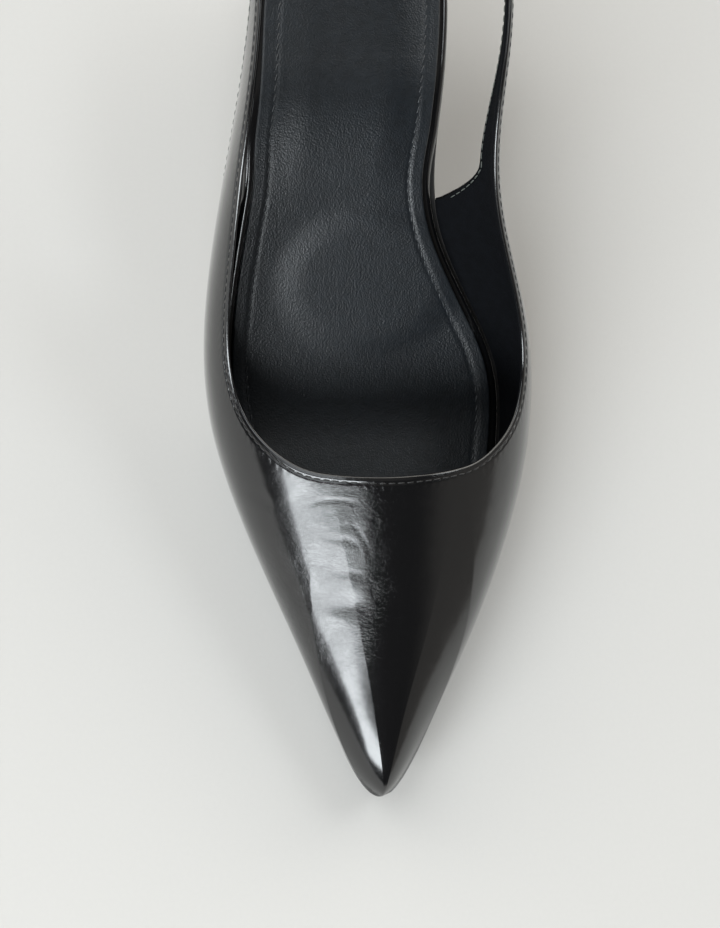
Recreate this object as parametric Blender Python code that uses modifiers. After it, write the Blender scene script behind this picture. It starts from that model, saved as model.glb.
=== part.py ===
"""Right-foot slingback pump with a pointed toe and a covered mid heel.

The upper is one hollow wall around a last. The last is worked out from the
length, ball width, instep height and heel height, through the table of
sections below. Toe towards -Y, inner side of the foot towards +X, +Z up.
"""
from collections import namedtuple

import bmesh
import bpy
import numpy as np

# Driving sizes, in metres
LENGTH = 0.250            # toe tip to back of the heel seat, measured on the floor
BALL_WIDTH = 0.076        # feather line to feather line across the ball
INSTEP_HEIGHT = 0.072     # last above its feather line at the instep
HEEL_HEIGHT = 0.058       # floor to the underside of the sole at the back
TOE_SPRING = 0.007        # lift of the toe tip
SEAT_SLOPE = 0.16         # fall of the heel seat towards the waist, metres per metre
HEEL_SWELL = 0.008        # how far the strap stands behind the heel seat

WALL = 0.0018             # upper with its lining
GAP = 0.0003              # clearance between pieces that meet
SOLE_THICKNESS = 0.003
SOLE_INSET = 0.0008       # sole edge inside the upper's feather line
SOLE_EDGE_RADIUS = 0.0009
INSOLE_THICKNESS = 0.0034
INSOLE_EDGE_RADIUS = 0.0016
SOCK_THICKNESS = 0.0012
SOCK_INSET = 0.0026       # sock edge inside the insole's rolled edge
SOCK_EDGE_RADIUS = 0.0005
PAD_HEIGHT = 0.0016       # foam under the sock at the arch
INSOLE_TOE_EASE = 0.0016  # how far the insole stays back from the nose
SOCK_TOE_EASE = 0.0032

STRAP_WIDTH = 0.009
QUARTER_FLARE = 0.013     # extra width of the strap where it grows from the quarter
QUARTER_CORNER = 0.0048   # length of the rounded corner at the quarter's back edge

HEEL_TIP_WIDTH = 0.018
HEEL_TIP_LENGTH = 0.019
TOP_PIECE_THICKNESS = 0.005
HEEL_INSET = 0.0016       # heel edge inside the sole's edge at the seat
BREAST_HOLLOW = 0.004     # how far the front face of the heel curves inwards

# Places along the shoe, as shares of LENGTH from the toe tip
TREAD_FRONT = 0.24
TREAD_BACK = 0.385
SEAT_FRONT = 0.765
THROAT = 0.319
QUARTER_BACK = 0.632      # where the quarters end and the waist is bare
STRAP_START = 0.80        # behind this the strap has one width
BREAST = 0.80             # front face of the heel at the seat
HEEL_TIP_MIDDLE = 0.925
TOE_EASE_END = 0.20
PAD_MIDDLE = 0.57
PAD_REACH = 0.17

# The roundness of a section, below 1 for fuller shoulders, and how much squarer
# the shoulders get towards the toe, as a share of the half width there
SHOULDER = 0.80
TOE_FULLNESS = 0.30
TOE_FULLNESS_END = 0.31
TOE_FULLNESS_RISE = 0.18

# Sections of the last. swing and breadth are the middle and half width of the
# feather line, outer and inner are how far each wall swells past it, all as
# shares of BALL_WIDTH. height is a share of INSTEP_HEIGHT.
Section = namedtuple("Section", "place swing breadth height outer inner")
SECTIONS = [
    Section(0.00, -0.010, 0.000, 0.000, 0.000, 0.000),
    Section(0.03, -0.005, 0.092, 0.156, 0.014, 0.013),
    Section(0.09, 0.012, 0.178, 0.258, 0.030, 0.028),
    Section(0.18, 0.037, 0.300, 0.388, 0.047, 0.051),
    Section(0.28, 0.045, 0.425, 0.536, 0.067, 0.069),
    Section(0.38, 0.041, 0.514, 0.676, 0.083, 0.080),
    Section(0.48, 0.015, 0.525, 0.800, 0.089, 0.090),
    Section(0.60, -0.072, 0.394, 0.940, 0.090, 0.160),
    Section(0.72, -0.046, 0.353, 1.000, 0.079, 0.177),
    Section(0.86, -0.002, 0.346, 1.000, 0.068, 0.151),
    Section(1.00, 0.017, 0.000, 1.000, 0.000, 0.000),
]

# Top edge of the upper, as shares of the last's height at that place
Edge = namedtuple("Edge", "place outer inner")
TOPLINE = [
    Edge(THROAT, 1.000, 1.000),
    Edge(THROAT + 0.011, 0.895, 0.900),
    Edge(THROAT + 0.026, 0.810, 0.818),
    Edge(THROAT + 0.066, 0.684, 0.684),
    Edge(0.47, 0.604, 0.606),
    Edge(0.56, 0.622, 0.612),
    Edge(0.66, 0.584, 0.583),
    Edge(0.76, 0.548, 0.567),
    Edge(0.88, 0.575, 0.584),
    Edge(1.00, 0.620, 0.620),
]

# Heel outline on its way down, as shares of the way from the seat to the tip
HeelRing = namedtuple("HeelRing", "fall taper")
HEEL_RINGS = [
    HeelRing(0.00, 0.00),
    HeelRing(0.06, 0.13),
    HeelRing(0.14, 0.30),
    HeelRing(0.25, 0.49),
    HeelRing(0.40, 0.69),
    HeelRing(0.58, 0.85),
    HeelRing(0.78, 0.95),
    HeelRing(1.00, 1.00),
]

# Mesh density
UPPER_ROWS = 8
TOE_COLUMNS = 3
VAMP_COLUMNS = 20
CORNER_COLUMNS = 7
STRAP_COLUMNS = 16
SLAB_STATIONS = 40
SLAB_END = 0.006          # turn of the first and last cross-section
SLAB_COLUMNS = 7
EDGE_STEPS = 2
HEEL_ROUND_POINTS = 20
HEEL_FRONT_POINTS = 7
FINE = 240                # samples used to measure a curve's length

# Where each lower corner of the quarter is tied to the topline, ahead of it
CORNER_LEAD = 0.05
CORNER_TRAIL = 0.03


def column(table, name):
    return np.array([getattr(row, name) for row in table])


def spline(xs, ys, at, flat_ends=True):
    """Smooth curve through the points, with level or straight ends."""
    xs, ys = np.asarray(xs, float), np.asarray(ys, float)
    count, step = len(xs), np.diff(xs)
    rise = np.diff(ys) / step
    rows, right = np.eye(count), np.zeros(count)
    for i in range(1, count - 1):
        rows[i, i - 1:i + 2] = step[i - 1], 2 * (step[i - 1] + step[i]), step[i]
        right[i] = 6 * (rise[i] - rise[i - 1])
    if flat_ends:
        rows[0, :2], right[0] = (2 * step[0], step[0]), 6 * rise[0]
        rows[-1, -2:], right[-1] = (step[-1], 2 * step[-1]), -6 * rise[-1]
    bend = np.linalg.solve(rows, right)
    at = np.clip(at, xs[0], xs[-1])
    k = np.clip(np.searchsorted(xs, at) - 1, 0, count - 2)
    ahead, behind, width = xs[k + 1] - at, at - xs[k], step[k]
    curve = (bend[k] * ahead ** 3 + bend[k + 1] * behind ** 3) / (6 * width)
    curve += (ys[k] / width - bend[k] * width / 6) * ahead
    return curve + (ys[k + 1] / width - bend[k + 1] * width / 6) * behind


def swell(share):
    """Soft step from 0 to 1."""
    share = np.clip(share, 0.0, 1.0)
    return share * share * (3.0 - 2.0 * share)


def to_turn(place):
    """Angle share that crowds the sections at the toe tip and the heel."""
    return np.arccos(1.0 - 2.0 * np.clip(place, 0.0, 1.0)) / np.pi


def to_place(turn):
    return (1.0 - np.cos(np.pi * np.asarray(turn, float))) / 2.0


def section(name, turn, scale, flat_ends=True):
    """One column of the table of sections, read at any turn."""
    turns = to_turn(column(SECTIONS, "place"))
    return spline(turns, column(SECTIONS, name), turn, flat_ends) * scale


def sole_line(y):
    """Height and slope of the sole's underside: spring, tread, arch, seat."""
    front, back, seat = (LENGTH * share for share in (TREAD_FRONT, TREAD_BACK, SEAT_FRONT))
    seat_height = HEEL_HEIGHT - (LENGTH - seat) * SEAT_SLOPE
    toe = np.clip(front - y, 0.0, None) / front
    reach = seat - back
    arch = np.clip((y - back) / reach, 0.0, 1.0)
    behind = np.clip(y - seat, 0.0, None)
    height = TOE_SPRING * toe ** 2 + seat_height * swell(arch) + behind * SEAT_SLOPE
    height += reach * SEAT_SLOPE * (arch ** 3 - arch ** 2)
    slope = -2.0 * TOE_SPRING * toe / front + seat_height * 6.0 * (arch - arch ** 2) / reach
    slope += SEAT_SLOPE * np.where(behind > 0.0, 1.0, 3.0 * arch ** 2 - 2.0 * arch)
    return height, slope


def sole_top(y):
    """The sole is equally thick square to its surface."""
    height, slope = sole_line(y)
    return height + SOLE_THICKNESS * np.sqrt(1.0 + slope ** 2)


def last_point(turn, roll):
    """Point on the last. roll is -1 at the outer feather line, 0 on the crest, 1 inside."""
    turn, roll = np.broadcast_arrays(np.asarray(turn, float), np.asarray(roll, float))
    side = np.where(roll < 0.0, -1.0, 1.0)
    climb = (1.0 - np.abs(roll)) * np.pi / 2.0
    across, up = np.cos(climb), np.sin(climb)
    breadth = section("breadth", turn, BALL_WIDTH, False)
    wall = np.where(roll < 0.0, section("outer", turn, BALL_WIDTH, False),
                    section("inner", turn, BALL_WIDTH, False))
    bump = np.sin(2.0 * climb) * across ** 2 / 0.65
    full = TOE_FULLNESS * swell((TOE_FULLNESS_END - to_place(turn)) / TOE_FULLNESS_RISE)
    arch = np.abs(across) ** SHOULDER + full * up ** 4 * np.abs(across)
    x = section("swing", turn, BALL_WIDTH) + side * (breadth * arch + wall * bump)
    seat = LENGTH * to_place(turn)
    y = seat + HEEL_SWELL * swell((turn - 0.62) / 0.38) * up
    z = sole_top(seat) + GAP + section("height", turn, INSTEP_HEIGHT, False) * up
    return np.stack([x, y, z], axis=-1)


def roll_of(share, side):
    """Roll at a share of the last's height."""
    return side * 2.0 / np.pi * np.arccos(np.clip(share, 0.0, 1.0))


def top_share(place, side):
    """Topline height as a share of the last's height.

    The curve runs through the table over the square root of the distance
    behind the throat, which makes the throat round seen from above.
    """
    name = "outer" if side < 0 else "inner"
    behind = np.sqrt(column(TOPLINE, "place") - THROAT)
    width = roll_of(column(TOPLINE, name), 1.0) ** SHOULDER
    at = np.sqrt(np.clip(place - THROAT, 0.0, None))
    width = np.clip(spline(behind, width, at, False), 0.0, 1.0)
    return np.cos(np.pi / 2.0 * width ** (1.0 / SHOULDER))


def low_share(place, side):
    """Lower edge behind the quarter: a rounded back corner, then the strap."""
    height = section("height", to_turn(place), INSTEP_HEIGHT, False)
    ahead = np.clip((STRAP_START - place) / (STRAP_START - QUARTER_BACK), 0.0, 1.0)
    strap = STRAP_WIDTH + QUARTER_FLARE * swell(ahead)
    corner = np.clip((place - QUARTER_BACK) * LENGTH / QUARTER_CORNER, 0.0, 1.0)
    rounding = (1.0 - (1.0 - corner) ** 3) ** (1.0 / 3.0)
    return (top_share(place, side) - strap / height) * rounding


def even_steps(turn, roll, count):
    """Turn and roll at equal distances along a fine curve on the last."""
    points = last_point(turn, roll)
    walked = np.r_[0.0, np.cumsum(np.linalg.norm(np.diff(points, axis=0), axis=1))]
    stops = np.linspace(0.0, walked[-1], count + 1)
    return np.interp(stops, walked, turn), np.interp(stops, walked, roll)


def upper_edges(side):
    """Columns of the upper on one side: top and bottom ends as turn and roll."""
    share = np.linspace(0.0, 1.0, FINE)
    lead = QUARTER_BACK - CORNER_LEAD
    trail = QUARTER_BACK + CORNER_TRAIL
    bottom, top = [], []

    turn = to_turn(QUARTER_BACK) * share
    feather = even_steps(turn, np.full(FINE, float(side)), VAMP_COLUMNS)
    tip = np.linspace(0.0, side, TOE_COLUMNS + 1)[:-1]
    bottom.append((np.r_[np.zeros(TOE_COLUMNS), feather[0]], np.r_[tip, feather[1]]))
    place = THROAT + (lead - THROAT) * share ** 2
    top.append(even_steps(to_turn(place), roll_of(top_share(place, side), side),
                          TOE_COLUMNS + VAMP_COLUMNS))

    place = QUARTER_BACK + (trail - QUARTER_BACK) * share ** 3
    bottom.append(even_steps(to_turn(place), roll_of(low_share(place, side), side),
                             CORNER_COLUMNS))
    place = lead + (trail - lead) * share
    top.append(even_steps(to_turn(place), roll_of(top_share(place, side), side),
                          CORNER_COLUMNS))

    place = trail + (1.0 - trail) * share
    for ends, height in ((bottom, low_share), (top, top_share)):
        ends.append(even_steps(to_turn(place), roll_of(height(place, side), side),
                               STRAP_COLUMNS))

    joined = []
    for ends in (top, bottom):
        turns = np.concatenate([piece[0][1 if i else 0:] for i, piece in enumerate(ends)])
        rolls = np.concatenate([piece[1][1 if i else 0:] for i, piece in enumerate(ends)])
        joined.append((turns, rolls))
    return joined


def upper_grid():
    """Rings of points from the topline down to the lower edge."""
    top_in, low_in = upper_edges(1)
    top_out, low_out = upper_edges(-1)
    down = np.linspace(0.0, 1.0, UPPER_ROWS + 1)[:, None]
    halves = []
    for top, low in ((top_in, low_in), (top_out, low_out)):
        turn = top[0] + (low[0] - top[0]) * down
        roll = top[1] + (low[1] - top[1]) * down
        halves.append(last_point(turn, roll))
    inner, outer = halves
    return np.concatenate([inner, outer[:, -2:0:-1]], axis=1)


def outline(turn, side, inset):
    """Plan of the feather line, moved inwards by the inset."""
    def edge(at):
        x = section("swing", at, BALL_WIDTH) + side * section("breadth", at, BALL_WIDTH, False)
        return np.stack([x, LENGTH * to_place(at)], axis=-1)

    reach = 1e-4
    ahead, behind = np.clip(turn + reach, 0, 1), np.clip(turn - reach, 0, 1)
    along = edge(ahead) - edge(behind)
    along /= np.linalg.norm(along, axis=-1, keepdims=True)
    inwards = np.stack([-along[..., 1], along[..., 0]], axis=-1) * side
    return edge(turn) + inwards * np.asarray(inset)[..., None]


def slab_rings(inset, floor, thickness, radius):
    """Cross-sections of a thin piece that follows the last's bottom.

    inset gives the edge's distance inside the feather line for each turn,
    floor the height of the underside at y, thickness that of the slab.
    """
    turns = np.linspace(SLAB_END, 1.0 - SLAB_END, SLAB_STATIONS)
    left = outline(turns, -1, inset(turns))
    right = outline(turns, 1, inset(turns))
    rings = []
    for a, b, turn in zip(left, right, turns):
        width = np.linalg.norm(b - a)
        edge = min(radius, 0.45 * width)
        bend = np.linspace(0.0, np.pi / 2.0, EDGE_STEPS + 1)
        across = np.linspace(edge, width - edge, SLAB_COLUMNS)
        up = thickness(turn, across / width)
        share = np.r_[
            edge - edge * np.cos(bend), across[1:-1],
            width - edge + edge * np.sin(bend), width - edge + edge * np.cos(bend),
            across[-2:0:-1], edge - edge * np.sin(bend)] / width
        depth = np.r_[
            up[0] - radius + radius * np.sin(bend), up[1:-1],
            up[-1] - radius + radius * np.cos(bend), radius - radius * np.sin(bend),
            np.zeros(SLAB_COLUMNS - 2), radius - radius * np.cos(bend)]
        plan = a + (b - a) * share[:, None]
        height, slope = sole_line(plan[:, 1])
        rise = floor(plan[:, 1]) + depth * np.sqrt(1.0 + slope ** 2)
        rings.append(np.column_stack([plan, rise]))
    return np.array(rings)


def material(name, colour, roughness, metallic=0.0):
    finish = bpy.data.materials.new(name)
    finish.use_nodes = True
    shader = finish.node_tree.nodes["Principled BSDF"]
    shader.inputs["Base Color"].default_value = (*colour, 1.0)
    shader.inputs["Roughness"].default_value = roughness
    shader.inputs["Metallic"].default_value = metallic
    return finish


def add_object(name, mesh, finish, collection):
    mesh.materials.append(finish)
    mesh.shade_smooth()
    mesh.set_sharp_from_angle(angle=np.radians(50.0))
    piece = bpy.data.objects.new(name, mesh)
    collection.objects.link(piece)
    return piece


def loft(name, rings, finish, collection):
    """Closed skin over rings of equal length, with a cap at each end."""
    mesh = bpy.data.meshes.new(name)
    shape = bmesh.new()
    loops = [[shape.verts.new(point) for point in ring] for ring in rings]
    count = len(loops[0])
    for first, second in zip(loops, loops[1:]):
        for i in range(count):
            j = (i + 1) % count
            shape.faces.new((first[i], first[j], second[j], second[i]))
    shape.faces.new(loops[0][::-1])
    shape.faces.new(loops[-1])
    bmesh.ops.recalc_face_normals(shape, faces=shape.faces)
    shape.to_mesh(mesh)
    shape.free()
    return add_object(name, mesh, finish, collection)


def make_upper(collection):
    """One wall from toe to strap, given its thickness by Solidify."""
    grid = upper_grid()
    mesh = bpy.data.meshes.new("upper")
    shape = bmesh.new()
    rings = [[shape.verts.new(point) for point in ring] for ring in grid]
    count = len(rings[0])
    for upper_ring, lower_ring in zip(rings, rings[1:]):
        for i in range(count):
            j = (i + 1) % count
            shape.faces.new((upper_ring[i], lower_ring[i], lower_ring[j], upper_ring[j]))
    bmesh.ops.remove_doubles(shape, verts=shape.verts, dist=1e-5)
    bmesh.ops.recalc_face_normals(shape, faces=shape.faces)
    crest = min(shape.faces, key=lambda face: face.calc_center_median().y)
    if crest.normal.y > 0.0:
        bmesh.ops.reverse_faces(shape, faces=shape.faces)
    shape.to_mesh(mesh)
    shape.free()
    finish = material("glossy black leather", (0.012, 0.012, 0.013), 0.22)
    upper = add_object("upper", mesh, finish, collection)
    wall = upper.modifiers.new("wall", "SOLIDIFY")
    wall.thickness = WALL
    wall.offset = -1.0
    wall.use_even_offset = True
    return upper


def inside_upper(turn, extra, toe_ease):
    """Edge of what lies on the sole: inside the wall, then out to the feather line.

    toe_ease draws the edge back from the nose, where the wall leans over it.
    """
    start = QUARTER_BACK + GAP / LENGTH
    place = to_place(turn)
    step = swell((place - start) * LENGTH / (2.0 * WALL))
    inside = WALL + 2.0 * GAP
    ease = toe_ease * (1.0 - swell(place / TOE_EASE_END))
    return inside + (SOLE_INSET - inside) * step + extra + ease


def make_outsole(collection):
    rings = slab_rings(
        lambda turn: np.full_like(turn, SOLE_INSET),
        lambda y: sole_line(y)[0],
        lambda turn, share: np.full_like(share, SOLE_THICKNESS), SOLE_EDGE_RADIUS)
    finish = material("leather sole", (0.02, 0.02, 0.021), 0.45)
    return loft("outsole", rings, finish, collection)


def make_insole(collection):
    rings = slab_rings(
        lambda turn: inside_upper(turn, 0.0, INSOLE_TOE_EASE),
        lambda y: sole_top(y) + GAP,
        lambda turn, share: np.full_like(share, INSOLE_THICKNESS), INSOLE_EDGE_RADIUS)
    finish = material("covered insole board", (0.015, 0.015, 0.017), 0.3)
    return loft("insole", rings, finish, collection)


def sock_thickness(turn, share):
    """Sheet thickness with the foam pad at the arch."""
    along = np.clip(1.0 - ((to_place(turn) - PAD_MIDDLE) / PAD_REACH) ** 2, 0.0, 1.0)
    return SOCK_THICKNESS + PAD_HEIGHT * along ** 2 * np.sin(np.pi * share) ** 0.8


def make_sock(collection):
    def floor(y):
        slope = sole_line(y)[1]
        return sole_top(y) + 2.0 * GAP + INSOLE_THICKNESS * np.sqrt(1.0 + slope ** 2)

    rings = slab_rings(
        lambda turn: inside_upper(turn, SOCK_INSET, SOCK_TOE_EASE),
        floor, sock_thickness, SOCK_EDGE_RADIUS)
    finish = material("sock leather", (0.022, 0.024, 0.03), 0.5)
    return loft("sock", rings, finish, collection)


def heel_outlines():
    """Plan of the heel at the seat and at the tip, point for point."""
    inset = np.full(HEEL_ROUND_POINTS, SOLE_INSET + HEEL_INSET)
    turns = to_turn(BREAST) + (1.0 - to_turn(BREAST)) * np.sin(
        np.linspace(0.0, np.pi / 2.0, HEEL_ROUND_POINTS))
    inner = outline(turns, 1, inset)
    outer = outline(turns, -1, inset)
    front = np.linspace(0.0, 1.0, HEEL_FRONT_POINTS + 2)[1:-1]
    hollow = np.column_stack([np.zeros(HEEL_FRONT_POINTS), BREAST_HOLLOW * np.sin(np.pi * front)])
    breast = outer[0] + (inner[0] - outer[0]) * front[:, None] + hollow
    seat = np.concatenate([inner, outer[-2::-1], breast])

    middle = LENGTH * HEEL_TIP_MIDDLE
    centre = section("swing", to_turn(HEEL_TIP_MIDDLE), BALL_WIDTH)
    sweep = np.linspace(-np.pi / 2.0, np.pi / 2.0, 2 * HEEL_ROUND_POINTS - 1)
    arc_x = -np.sin(sweep) * HEEL_TIP_WIDTH / 2.0
    arc_y = HEEL_TIP_LENGTH * (np.abs(np.cos(sweep)) ** 0.75 - 0.5)
    base_x = np.r_[arc_x, -HEEL_TIP_WIDTH / 2.0 + HEEL_TIP_WIDTH * front]
    base_y = np.r_[arc_y, np.full(HEEL_FRONT_POINTS, -HEEL_TIP_LENGTH / 2.0)]
    tip = np.column_stack([centre + base_x, middle + base_y])
    return seat, tip


def make_heel(collection):
    seat, tip = heel_outlines()
    rings = []
    for ring in HEEL_RINGS:
        plan = seat + (tip - seat) * ring.taper
        top = sole_line(seat[:, 1])[0] - GAP
        base = TOP_PIECE_THICKNESS + GAP
        rings.append(np.column_stack([plan, top + (base - top) * ring.fall]))
    finish = material("covered heel", (0.012, 0.012, 0.013), 0.22)
    return loft("heel", rings, finish, collection)


def make_top_piece(collection):
    tip = heel_outlines()[1]
    levels = (0.0, TOP_PIECE_THICKNESS)
    rings = [np.column_stack([tip, np.full(len(tip), level)]) for level in levels]
    finish = material("heel top piece", (0.03, 0.03, 0.03), 0.6)
    return loft("heel_top_piece", rings, finish, collection)


def centre_on_floor(pieces):
    """Put the middle of the shoe's box over the origin."""
    bpy.context.view_layer.update()
    graph = bpy.context.evaluated_depsgraph_get()
    lows, highs = [], []
    for piece in pieces:
        mesh = piece.evaluated_get(graph).to_mesh()
        points = np.empty(len(mesh.vertices) * 3)
        mesh.vertices.foreach_get("co", points)
        lows.append(points.reshape(-1, 3).min(axis=0))
        highs.append(points.reshape(-1, 3).max(axis=0))
    middle = (np.min(lows, axis=0) + np.max(highs, axis=0)) / 2.0
    for piece in pieces:
        piece.location = (-middle[0], -middle[1], 0.0)


def main():
    for leftover in list(bpy.data.objects):
        bpy.data.objects.remove(leftover, do_unlink=True)
    collection = bpy.data.collections.new("slingback pump")
    bpy.context.scene.collection.children.link(collection)
    makers = (make_upper, make_outsole, make_insole, make_sock, make_heel, make_top_piece)
    centre_on_floor([make(collection) for make in makers])


main()
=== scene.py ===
# %% [markdown]
# # A slingback pump in glossy black leather
#
# The shoe is a closed toe and two quarters that run back into a strap round
# the heel. The construction model gives its solids. This script dresses them:
# each surface is worked out again from the same sizes, fine enough for folded
# edges, creases and stitches, and gets a finish made of shader nodes.

import bmesh
import bpy
import mathutils
import numpy as np
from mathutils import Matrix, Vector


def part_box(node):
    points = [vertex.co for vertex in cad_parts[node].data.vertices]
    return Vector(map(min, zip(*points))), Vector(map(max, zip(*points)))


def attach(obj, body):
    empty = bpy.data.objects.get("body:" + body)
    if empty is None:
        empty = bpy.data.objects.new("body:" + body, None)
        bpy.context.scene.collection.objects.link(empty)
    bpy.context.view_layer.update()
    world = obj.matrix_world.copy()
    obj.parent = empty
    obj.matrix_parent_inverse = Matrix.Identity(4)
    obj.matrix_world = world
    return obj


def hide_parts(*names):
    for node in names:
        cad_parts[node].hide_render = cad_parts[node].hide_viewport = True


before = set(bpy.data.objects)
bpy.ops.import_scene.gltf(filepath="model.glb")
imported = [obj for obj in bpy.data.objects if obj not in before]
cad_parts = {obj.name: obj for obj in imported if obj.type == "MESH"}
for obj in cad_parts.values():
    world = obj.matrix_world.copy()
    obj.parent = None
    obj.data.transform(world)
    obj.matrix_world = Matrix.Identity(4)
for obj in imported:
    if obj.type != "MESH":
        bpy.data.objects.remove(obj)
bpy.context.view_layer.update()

# %% [markdown]
# ## Sizes
#
# A shoemaker works from a last, the form that the shoe is built round. These
# are the sizes of the last and of the pieces on it, in metres, with the toe
# towards -Y and the inner side of the foot towards +X. A place is a share of
# the length, counted from the toe tip.

# %% Sizes of the last and the pieces
LENGTH = 0.250
BALL_WIDTH = 0.076
INSTEP_HEIGHT = 0.072
HEEL_HEIGHT = 0.058
TOE_SPRING = 0.007
SEAT_SLOPE = 0.16
HEEL_SWELL = 0.008        # how far the heel's curve stands behind the seat
HEEL_SWELL_START = 0.62

GAP = 0.0003              # air between two solids that lie on each other
SOLE_THICKNESS = 0.003
SOLE_INSET = 0.0008
INSOLE_THICKNESS = 0.0034
SOCK_THICKNESS = 0.0012
SOCK_INSET = 0.0026       # sock edge inside the insole's rolled edge
LEATHER = 0.00115         # upper leather, folded over at its edge
WALL = 0.0018             # leather and lining together
FOLD = LEATHER / 2.0

STRAP_WIDTH = 0.009
QUARTER_FLARE = 0.013     # what the strap gains in width down to the quarter
QUARTER_CORNER = 0.0048

TREAD_FRONT = 0.24
TREAD_BACK = 0.385
SEAT_FRONT = 0.765
THROAT = 0.319
QUARTER_BACK = 0.632
STRAP_START = 0.80

SHOULDER = 0.80           # power that rounds a section: lower is squarer
BULGE_PEAK = 0.65         # highest value of the bulge's own curve
TOE_FULLNESS = 0.30
TOE_FULLNESS_END = 0.31
TOE_FULLNESS_RISE = 0.18

STITCH_PITCH = 0.00247
TOPLINE_STITCH_INSET = 0.0016
THREAD = 0.00042

# %% [markdown]
# ## The last
#
# A last has no simple formula, so its makers keep a table of cross-sections
# and let smooth curves run through them. Each row here holds one section:
# where it is, how far its middle swings to the inner side, its half width and
# its height, and how far each wall bulges. A cubic spline carries each column
# from row to row, so that highlights run along the shoe without a kink.

# %% Tables and splines
SECTIONS = np.array([
    # place swing breadth height outer inner
    (0.00, -0.010, 0.000, 0.000, 0.000, 0.000),
    (0.03, -0.005, 0.092, 0.156, 0.014, 0.013),
    (0.09, 0.012, 0.178, 0.258, 0.030, 0.028),
    (0.18, 0.037, 0.300, 0.388, 0.047, 0.051),
    (0.28, 0.045, 0.425, 0.536, 0.067, 0.069),
    (0.38, 0.041, 0.514, 0.676, 0.083, 0.080),
    (0.48, 0.015, 0.525, 0.800, 0.089, 0.090),
    (0.60, -0.072, 0.394, 0.940, 0.090, 0.160),
    (0.72, -0.046, 0.353, 1.000, 0.079, 0.177),
    (0.86, -0.002, 0.346, 1.000, 0.068, 0.151),
    (1.00, 0.017, 0.000, 1.000, 0.000, 0.000),
])
PLACE, SWING, BREADTH, HEIGHT, OUTER, INNER = range(6)

# Top edge of the upper: place, then outer and inner side as shares of the height
TOPLINE = np.array([
    (THROAT, 1.000, 1.000),
    (THROAT + 0.011, 0.895, 0.900),
    (THROAT + 0.026, 0.810, 0.818),
    (THROAT + 0.066, 0.684, 0.684),
    (0.47, 0.604, 0.606),
    (0.56, 0.622, 0.612),
    (0.66, 0.584, 0.583),
    (0.76, 0.548, 0.567),
    (0.88, 0.575, 0.584),
    (1.00, 0.620, 0.620),
])


def spline(xs, ys, at, flat_ends=True):
    """Cubic curve with equal slope and bend on both sides of each point.

    The bends at the points solve one linear system. The ends are level, or
    straight where flat_ends is False.
    """
    count = len(xs)
    step = np.diff(xs)
    rise = np.diff(ys) / step
    rows = np.eye(count)
    right = np.zeros(count)
    for i in range(1, count - 1):
        rows[i, i - 1:i + 2] = step[i - 1], 2 * (step[i - 1] + step[i]), step[i]
        right[i] = 6 * (rise[i] - rise[i - 1])
    if flat_ends:
        rows[0, :2] = 2 * step[0], step[0]
        rows[-1, -2:] = step[-1], 2 * step[-1]
        right[0] = 6 * rise[0]
        right[-1] = -6 * rise[-1]
    bend = np.linalg.solve(rows, right)
    at = np.clip(at, xs[0], xs[-1])
    k = np.clip(np.searchsorted(xs, at) - 1, 0, count - 2)
    ahead = xs[k + 1] - at
    behind = at - xs[k]
    curve = (bend[k] * ahead ** 3 + bend[k + 1] * behind ** 3) / (6 * step[k])
    curve += (ys[k] / step[k] - bend[k] * step[k] / 6) * ahead
    return curve + (ys[k + 1] / step[k] - bend[k + 1] * step[k] / 6) * behind


def swell(share):
    """Soft step: 3 s squared less 2 s cubed, between 0 and 1."""
    share = np.clip(share, 0.0, 1.0)
    return share * share * (3.0 - 2.0 * share)


def to_turn(place):
    """Angle share: the arc cosine of 1 - 2 place, which rounds toe and heel."""
    return np.arccos(1.0 - 2.0 * np.clip(place, 0.0, 1.0)) / np.pi


def to_place(turn):
    return (1.0 - np.cos(np.pi * np.asarray(turn, float))) / 2.0


def section(column, turn, scale, flat_ends=False):
    return spline(to_turn(SECTIONS[:, PLACE]), SECTIONS[:, column], turn, flat_ends) * scale


# %% [markdown]
# The bottom of the shoe is a single line seen from the side: toe spring, flat
# tread, arch and heel seat. Everything else stands on it.

# %% The bottom line
def sole_line(y):
    """Height and slope of the sole's underside.

    A parabola at the toe, level at the tread, a soft step up the arch that
    ends with the slope of the seat, and a straight seat.
    """
    front = LENGTH * TREAD_FRONT
    back = LENGTH * TREAD_BACK
    seat = LENGTH * SEAT_FRONT
    seat_height = HEEL_HEIGHT - (LENGTH - seat) * SEAT_SLOPE
    toe = np.clip(front - y, 0.0, None) / front
    reach = seat - back
    arch = np.clip((y - back) / reach, 0.0, 1.0)
    behind = np.clip(y - seat, 0.0, None)
    height = TOE_SPRING * toe ** 2 + seat_height * swell(arch) + behind * SEAT_SLOPE
    height += reach * SEAT_SLOPE * (arch ** 3 - arch ** 2)
    slope = -2.0 * TOE_SPRING * toe / front + seat_height * 6.0 * (arch - arch ** 2) / reach
    slope += SEAT_SLOPE * np.where(behind > 0.0, 1.0, 3.0 * arch ** 2 - 2.0 * arch)
    return height, slope


def above_sole(y, thickness):
    """Height of a layer's top that is so thick, square to the sole."""
    height, slope = sole_line(y)
    return height + thickness * np.sqrt(1.0 + slope ** 2)


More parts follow.
